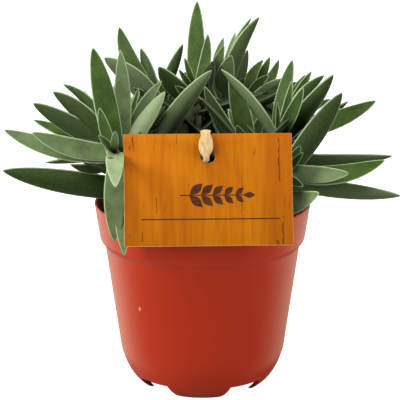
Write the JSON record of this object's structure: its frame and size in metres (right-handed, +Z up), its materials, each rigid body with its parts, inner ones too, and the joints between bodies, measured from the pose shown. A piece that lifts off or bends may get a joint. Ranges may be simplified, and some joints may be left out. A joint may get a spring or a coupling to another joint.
{
  "type": "potted crassula mesembryanthemoides",
  "caption": "Velvety grey-green succulent with pointed leaves on branching stems, rooted in peat in a round terracotta-coloured nursery pot, with a blank wood-grain label.",
  "frame": {"origin": "on the ground under the middle of the pot, which is also the bottom centre of the whole object's box", "axes": "+Z up through the middle of the pot; -Y towards the label, the pictured front; +X to the viewer's right"},
  "size_m": [0.216, 0.162, 0.212],
  "materials": {
    "pot": "satin",
    "peat": "rough",
    "stem": "matte",
    "leaf": "velvety",
    "label_card": "satin",
    "label_tie": "fibrous"
  },
  "bodies": {
    "root": {"label_card": "label_card", "label_tie": "label_tie", "leaf_back_left_1": "leaf", "leaf_back_left_2": "leaf", "leaf_back_left_3": "leaf", "leaf_back_right_1": "leaf", "leaf_back_right_2": "leaf", "leaf_centre_left_1": "leaf", "leaf_centre_left_2": "leaf", "leaf_centre_right_1": "leaf", "leaf_centre_right_2": "leaf", "leaf_front_left_1": "leaf", "leaf_front_left_2": "leaf", "leaf_front_left_3": "leaf", "leaf_front_left_4": "leaf", "leaf_front_left_5": "leaf", "leaf_front_left_6": "leaf", "leaf_front_right_1": "leaf", "leaf_front_right_2": "leaf", "leaf_front_right_3": "leaf", "leaf_front_right_4": "leaf", "leaf_high_back_1": "leaf", "leaf_high_back_2": "leaf", "leaf_high_back_3": "leaf", "leaf_left_1": "leaf", "leaf_left_2": "leaf", "leaf_left_3": "leaf", "leaf_rear_1": "leaf", "leaf_rear_2": "leaf", "leaf_rear_left_1": "leaf", "leaf_rear_left_2": "leaf", "leaf_rear_right_1": "leaf", "leaf_rear_right_2": "leaf", "leaf_right_1": "leaf", "leaf_right_2": "leaf", "leaf_right_3": "leaf", "leaf_right_4": "leaf", "leaf_right_5": "leaf", "leaf_top_1": "leaf", "leaf_top_2": "leaf", "leaf_top_3": "leaf", "leaf_top_right_1": "leaf", "leaf_top_right_2": "leaf", "leaf_top_right_3": "leaf", "peat": "peat", "pot": "pot", "stem_back_left": "stem", "stem_back_right": "stem", "stem_centre_left": "stem", "stem_centre_right": "stem", "stem_front_left": "stem", "stem_front_right": "stem", "stem_high_back": "stem", "stem_left": "stem", "stem_rear": "stem", "stem_rear_left": "stem", "stem_rear_right": "stem", "stem_right": "stem", "stem_top": "stem", "stem_top_right": "stem"}
  },
  "joints": []
}
